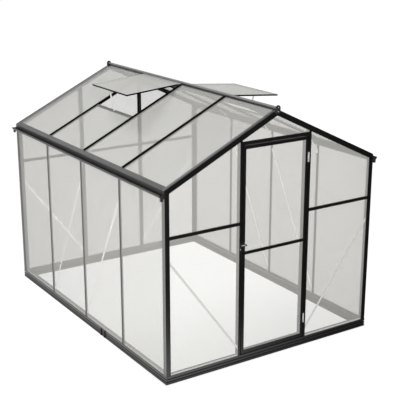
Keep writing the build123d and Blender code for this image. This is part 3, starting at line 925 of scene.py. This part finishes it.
@dataclass(frozen=True)
class BraceBolts(Assembly):
    """Bolts through the ends of the flat braces."""

    depth: float = 0.0106
    inset: float = 0.012
    side_foot: float = 0.097
    side_top: float = 1.240
    side_gap: float = 0.010
    gable_foot: Span = (0.315, 0.3203)
    gable_foot_z: float = 0.120
    gable_corner: float = 0.919
    gable_corner_z: float = 0.935
    head: HexBolt = HexBolt()

    def inward(self, starts: np.ndarray, ends: np.ndarray) -> np.ndarray:
        """Bolt places a little way in from both ends of straight braces.

        Args:
            starts: First end of each brace, one row each.
            ends: Other end of each brace, one row each.

        Returns:
            Places near the starts, then those near the ends.
        """
        way = ends - starts
        way *= self.inset / np.linalg.norm(way, axis=1, keepdims=True)
        return np.concatenate([starts + way, ends - way])

    def side_seats(self) -> tuple[np.ndarray, np.ndarray]:
        """Places of the bolts on the side braces.

        Returns:
            Seats and normals, one row each.
        """
        x = np.full(2, BUILDING.half_width - self.depth)
        foot = BUILDING.bar_places[:2] + self.side_gap
        top = BUILDING.bar_places[1:] - self.side_gap
        starts = np.stack([x, foot, np.full(2, self.side_foot)], axis=1)
        ends = np.stack([x, top, np.full(2, self.side_top)], axis=1)
        seats = self.inward(starts, ends)
        return both_sides(seats), both_sides(np.tile((-1.0, 0.0, 0.0), (len(seats), 1)))

    def gable_seats(self) -> tuple[np.ndarray, np.ndarray]:
        """Places of the bolts on the gable braces, front then back.

        Returns:
            Seats and normals, one row each.
        """
        side = np.array([1.0, -1.0, 1.0, -1.0])
        gable = np.array([-1.0, -1.0, 1.0, 1.0])
        y = gable * (BUILDING.half_length - self.depth)
        foot = side * np.repeat(self.gable_foot, 2)
        starts = np.stack([foot, y, np.full(4, self.gable_foot_z)], axis=1)
        ends = np.stack([side * self.gable_corner, y, np.full(4, self.gable_corner_z)], axis=1)
        normals = np.stack([0.0 * gable, -gable, 0.0 * gable], axis=1)
        return self.inward(starts, ends), np.tile(normals, (2, 1))

    def pieces(self) -> list[Piece]:
        """A bolt at each end of each brace.

        Returns:
            One piece for the sides and one for the gables.
        """
        places = {"side": self.side_seats(), "gable": self.gable_seats()}
        return [
            Piece(f"{name}_brace_bolts", seated(self.head, *seats), STEEL)
            for name, seats in places.items()
        ]


@dataclass(frozen=True)
class BracketBolts(Assembly):
    """Bolts through both tabs of the knee brackets under the eaves."""

    depth: float = 0.0185
    wall_level: float = 1.347
    roof_slope: float = 0.9208
    head: HexBolt = HexBolt()

    def pieces(self) -> list[Piece]:
        """One bolt in each wall tab and one in each roof tab.

        Returns:
            All bolts as one piece.
        """
        roof_x, roof_z = BUILDING.slope_point(self.roof_slope, self.depth)
        wall_x = BUILDING.half_width - self.depth
        bars = BUILDING.bar_places
        x = np.repeat([wall_x, roof_x], len(bars))
        z = np.repeat([self.wall_level, roof_z], len(bars))
        seats = np.stack([x, np.tile(bars, 2), z], axis=1)
        facing = np.negative([(1.0, 0.0, 0.0), BUILDING.roof_normal])
        normals = np.repeat(facing, len(bars), axis=0)
        points = seated(self.head, both_sides(seats), both_sides(normals))
        return [Piece("eave_bracket_bolts", points, STEEL)]


@dataclass(frozen=True)
class SpliceBolts(Assembly):
    """Bolts on the two straps that clamp each joint of the long sills."""

    joint: float = 0.3055
    strap_half_pitch: float = 0.030
    stand: float = 0.009
    levels: Span = (0.0185, 0.0465)
    head: HexBolt = SMALL_BOLT

    def pieces(self) -> list[Piece]:
        """Two bolts on each strap.

        Returns:
            All bolts as one piece.
        """
        y = self.joint + np.array([-1.0, -1.0, 1.0, 1.0]) * self.strap_half_pitch
        x = np.full(4, BUILDING.half_width + self.stand)
        seats = np.stack([x, y, np.tile(self.levels, 2)], axis=1)
        normals = np.tile((1.0, 0.0, 0.0), (4, 1))
        points = seated(self.head, both_sides(seats), both_sides(normals))
        return [Piece("sill_splice_bolts", points, PLASTIC)]


@dataclass(frozen=True)
class HingePins(Assembly):
    """Domed ends of the hinge pins."""

    axis_x: float = 0.2985
    axis_y: float = -1.289
    levels: Span = (0.229, 1.5219)
    half_length: float = 0.03725
    pin: DomeScrew = DomeScrew(radius=0.003, height=0.0018, rim=0.0006)

    def pieces(self) -> list[Piece]:
        """A head at the top and at the bottom of each hinge.

        Returns:
            All heads as one piece.
        """
        way = np.array([-1.0, 1.0, -1.0, 1.0])
        z = np.repeat(self.levels, 2) + way * self.half_length
        seats = np.stack([np.full(4, self.axis_x), np.full(4, self.axis_y), z], axis=1)
        normals = np.stack([0.0 * way, 0.0 * way, way], axis=1)
        return [Piece("hinge_pin_ends", seated(self.pin, seats, normals), STEEL)]


@dataclass(frozen=True)
class LatchScrews(Assembly):
    """Screws of the latch plate on the door and of the keeper's post."""

    plate_x: float = -0.283
    plate_face: float = -1.287
    plate_levels: Span = (0.922, 0.964)
    post_x: float = -0.3115
    post_face: float = -1.285
    post_level: float = 0.911
    screw: DomeScrew = DomeScrew(radius=0.003, height=0.0016, rim=0.0005, recess=0.0007)
    post_screw: DomeScrew = DomeScrew(radius=0.0045, height=0.0022, rim=0.0007, recess=0.001)

    def pieces(self) -> list[Piece]:
        """Two screws in the door's plate and one in the post.

        Returns:
            One piece on the door and one on the frame.
        """
        facing = np.array([(0.0, -1.0, 0.0)])
        plate = np.array([(self.plate_x, self.plate_face, level) for level in self.plate_levels])
        post = np.array([(self.post_x, self.post_face, self.post_level)])
        plate_points = seated(self.screw, plate, np.repeat(facing, 2, axis=0))
        return [
            Piece("latch_plate_screws", plate_points, PLASTIC, Body.DOOR),
            Piece("latch_post_screw", seated(self.post_screw, post, facing), STEEL),
        ]


@dataclass(frozen=True)
class LeverHighlightStrip(Assembly):
    """Bright steel strip along the front of the latch lever, a painted highlight for the light
    along its top.
    """

    face: float = -1.2993
    ends: Span = (-0.3125, -0.2795)
    level: float = 0.9442
    half_width: float = 0.0032
    height: float = 0.0014

    def pieces(self) -> list[Piece]:
        """The strip on the lever.

        Returns:
            One piece on the latch.
        """
        start, end = [np.array([(x, self.face, self.level)]) for x in self.ends]
        points = strips(start, end, (0.0, -1.0, 0.0), self.half_width, self.height)
        return [Piece("latch_lever_highlight_strip", points, STEEL, Body.LATCH)]


@dataclass(frozen=True)
class StayBolts(Assembly):
    """Pivot bolts at both ends of the stays that prop the roof vents."""

    middle: float = -0.3165
    half_thickness: float = 0.0015
    low: Span = (0.4697, 1.6846)
    high: Span = (0.5052, 1.8570)
    shares: Span = (0.06, 0.94)
    head: HexBolt = SMALL_BOLT

    def pieces(self) -> list[Piece]:
        """A head on each side of each stay at both pivots.

        Returns:
            All heads as one piece.
        """
        share = np.repeat(self.shares, 2)[:, None]
        across = np.subtract(self.high, self.low) * share + self.low
        way = np.array([-1.0, 1.0, -1.0, 1.0])
        y = self.middle + way * self.half_thickness
        seats = np.stack([across[:, 0], y, across[:, 1]], axis=1)
        normals = np.stack([0.0 * way, way, 0.0 * way], axis=1)
        points = seated(self.head, both_sides(seats), both_sides(normals))
        return [Piece("vent_stay_bolts", points, STEEL)]


@dataclass(frozen=True)
class RidgeCapScrews(Assembly):
    """Screws that hold the end caps of the ridge."""

    face: float = 1.293
    levels: Span = (1.897, 1.926)
    screw: DomeScrew = DomeScrew(radius=0.0035, height=0.0018, rim=0.0006, recess=0.0008)

    def pieces(self) -> list[Piece]:
        """Two screws in each cap.

        Returns:
            All screws as one piece.
        """
        seats = np.array([(0.0, -self.face, level) for level in self.levels])
        normals = np.tile((0.0, -1.0, 0.0), (2, 1))
        points = seated(self.screw, both_sides(seats), both_sides(normals))
        return [Piece("ridge_cap_screws", points, STEEL)]


@dataclass(frozen=True)
class SheetSeats(Assembly):
    """Pale seat strips that the wall sheets stand beside, on the ledge of each sill."""

    depths: Span = (0.0092, 0.0244)
    height: float = 0.0045
    corner: float = 0.040
    door_edge: float = 0.323
    back_post: float = 0.3103
    back_post_half: float = 0.022
    bar_half: float = 0.011

    def limits(self) -> tuple[np.ndarray, np.ndarray, np.ndarray]:
        """Ends of the clear lengths between corners, bars and posts.

        Returns:
            Limits along a side, the front and the back, in pairs.
        """
        side = BUILDING.half_length - self.corner
        gable = BUILDING.half_width - self.corner
        bars = np.add.outer(BUILDING.bar_places, (-self.bar_half, self.bar_half)).ravel()
        near, far = self.back_post - self.back_post_half, self.back_post + self.back_post_half
        front = [-gable, -self.door_edge, self.door_edge, gable]
        back = [-gable, -far, -near, near, far, gable]
        return np.array([-side, *bars, side]), np.array(front), np.array(back)

    def stretches(self) -> tuple[np.ndarray, np.ndarray]:
        """Clear lengths along the sills.

        Returns:
            Start and end of each stretch on the ledge's middle line, one row each.
        """
        middle = sum(self.depths) / 2.0
        x, y = BUILDING.half_width - middle, BUILDING.half_length - middle
        side, front, back = self.limits()
        rows = [np.stack([np.full_like(side, way), side], axis=1) for way in (-x, x)]
        rows += [
            np.stack([gable, np.full_like(gable, way)], axis=1)
            for way, gable in ((-y, front), (y, back))
        ]
        ends = np.concatenate(rows)
        ends = np.column_stack([ends, np.full(len(ends), BUILDING.sill_top)])
        return ends[0::2], ends[1::2]

    def pieces(self) -> list[Piece]:
        """A strip on every stretch.

        Returns:
            All strips as one piece.
        """
        half = (self.depths[1] - self.depths[0]) / 2.0
        points = strips(*self.stretches(), (0.0, 0.0, 1.0), half, self.height)
        return [Piece("sheet_seats", points, SEAL)]


@dataclass(frozen=True)
class RoofCappings(Assembly):
    """Raised cappings over the roof bars."""

    slopes: Span = (0.0135, 1.0135)
    half_width: float = 0.012
    height: float = 0.0065
    power: float = 0.35

    def pieces(self) -> list[Piece]:
        """A capping on each bar of both slopes.

        Returns:
            All cappings as one piece.
        """
        lines = BUILDING.slope_lines(BUILDING.bar_places, self.slopes)
        points = strips(*lines, BUILDING.roof_normal, self.half_width, self.height, self.power)
        return [Piece("roof_cappings", both_sides(points), BAR_COAT)]


@dataclass(frozen=True)
class RidgeTrim(Assembly):
    """Rounded trim along the crest of the ridge."""

    half_run: float = 1.284
    level: float = 1.9255
    half_width: float = 0.006
    height: float = 0.0055
    power: float = 0.6

    def pieces(self) -> list[Piece]:
        """The trim between the two end caps.

        Returns:
            One piece.
        """
        ends = [np.array([(0.0, y, self.level)]) for y in (-self.half_run, self.half_run)]
        points = strips(*ends, (0.0, 0.0, 1.0), self.half_width, self.height, self.power)
        return [Piece("ridge_trim", points, CREST_SHEEN_COAT)]


@dataclass(frozen=True)
class RafterTrims(Assembly):
    """Rolled trims along the outer top edges of the gable rafters."""

    inset: float = 0.006
    slopes: Span = (0.018, 1.052)
    half_width: float = 0.005
    height: float = 0.0035

    def pieces(self) -> list[Piece]:
        """A trim on each rafter.

        Returns:
            All trims as one piece.
        """
        y = np.array([-1.0, 1.0]) * (BUILDING.half_length - self.inset)
        lines = BUILDING.slope_lines(y, self.slopes)
        points = strips(*lines, BUILDING.roof_normal, self.half_width, self.height)
        return [Piece("rafter_trims", both_sides(points), COAT)]


@dataclass(frozen=True)
class SillMouldings(Assembly):
    """Raised rails, with grooves between them, on the outside of all four sills."""

    rails: tuple[Span, ...] = ((0.0, 0.0185), (0.025, 0.04), (0.0468, 0.065))
    stand: float = 0.0016
    chamfer: float = 0.0008

    def section(self) -> tuple[np.ndarray, np.ndarray]:
        """Outline of each rail, chamfered in front and flat on the sill.

        Returns:
            Level and offset of each point round each rail.
        """
        low, high = np.array(self.rails).T
        cut = self.chamfer
        level = np.stack([low, low + cut, high - cut, high, high, low], axis=1)
        offset = np.array([self.stand - cut, self.stand, self.stand, self.stand - cut, 0.0, 0.0])
        return level, np.broadcast_to(offset, level.shape)

    def pieces(self) -> list[Piece]:
        """Carry every rail's section along each sill, with mitred ends.

        A point is outward x (face + offset) + along x way x (half run + offset) + up x level, with
        way -1 and 1 at the two corners; each end closes to the middle of its section.

        Returns:
            All rails as one piece.
        """
        level, offset = self.section()
        outward = np.array([(1.0, 0.0), (0.0, 1.0), (-1.0, 0.0), (0.0, -1.0)])
        outward = outward[:, None, None, None, :]
        along = np.roll(outward, -1, axis=0)
        face = np.array([BUILDING.half_width, BUILDING.half_length] * 2)[:, None, None, None]
        run = np.roll(face, 1, axis=0)
        way = np.array([-1.0, -1.0, 1.0, 1.0])[:, None]
        offset = offset[:, None, :]
        out = face + offset + 0.0 * way
        reach = way * (run + offset)
        flat = out[..., None] * outward + reach[..., None] * along
        height = np.broadcast_to(level[:, None, :], out.shape)[..., None]
        points = np.concatenate([flat, height], axis=-1)
        for ring in (0, -1):
            points[:, :, ring] = points[:, :, ring].mean(axis=2, keepdims=True)
        return [Piece("sill_mouldings", points.reshape(-1, *points.shape[2:]), SILL_RAIL_SHEEN_COAT)]


def dress_nodes(palette: Palette) -> None:
    """Give every CAD node its own finish, or else the finish of its slot in the record.

    Args:
        palette: Materials made so far.
    """
    usual = {finish.slot: finish for finish in SLOT_FINISHES}
    chosen = {node: finish for finish, nodes in NODE_FINISHES for node in nodes}
    for part in frame["record"]["subparts"]:
        node = part["node"]
        finish = chosen.get(node, usual[Slot(part["material_slot"])])
        mesh = frame["nodes"][node].data
        mesh.materials.clear()
        mesh.materials.append(palette.material(finish))
        log.info("dressed %s: %s", node, finish.name)


def main() -> None:
    """Build the studio, dress the nodes and add the fixings."""
    logging.basicConfig(level=logging.INFO, format="%(name)s: %(message)s")
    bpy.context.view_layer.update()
    Studio().build()
    palette = Palette()
    dress_nodes(palette)
    for assembly in (
        SillMouldings(), RoofCappings(), RidgeTrim(), RafterTrims(), SheetSeats(), BraceBolts(),
        BracketBolts(), SpliceBolts(), HingePins(), LatchScrews(), LeverHighlightStrip(), StayBolts(),
        RidgeCapScrews(),
    ):
        assembly.build(palette)


if __name__ == "__main__":
    main()
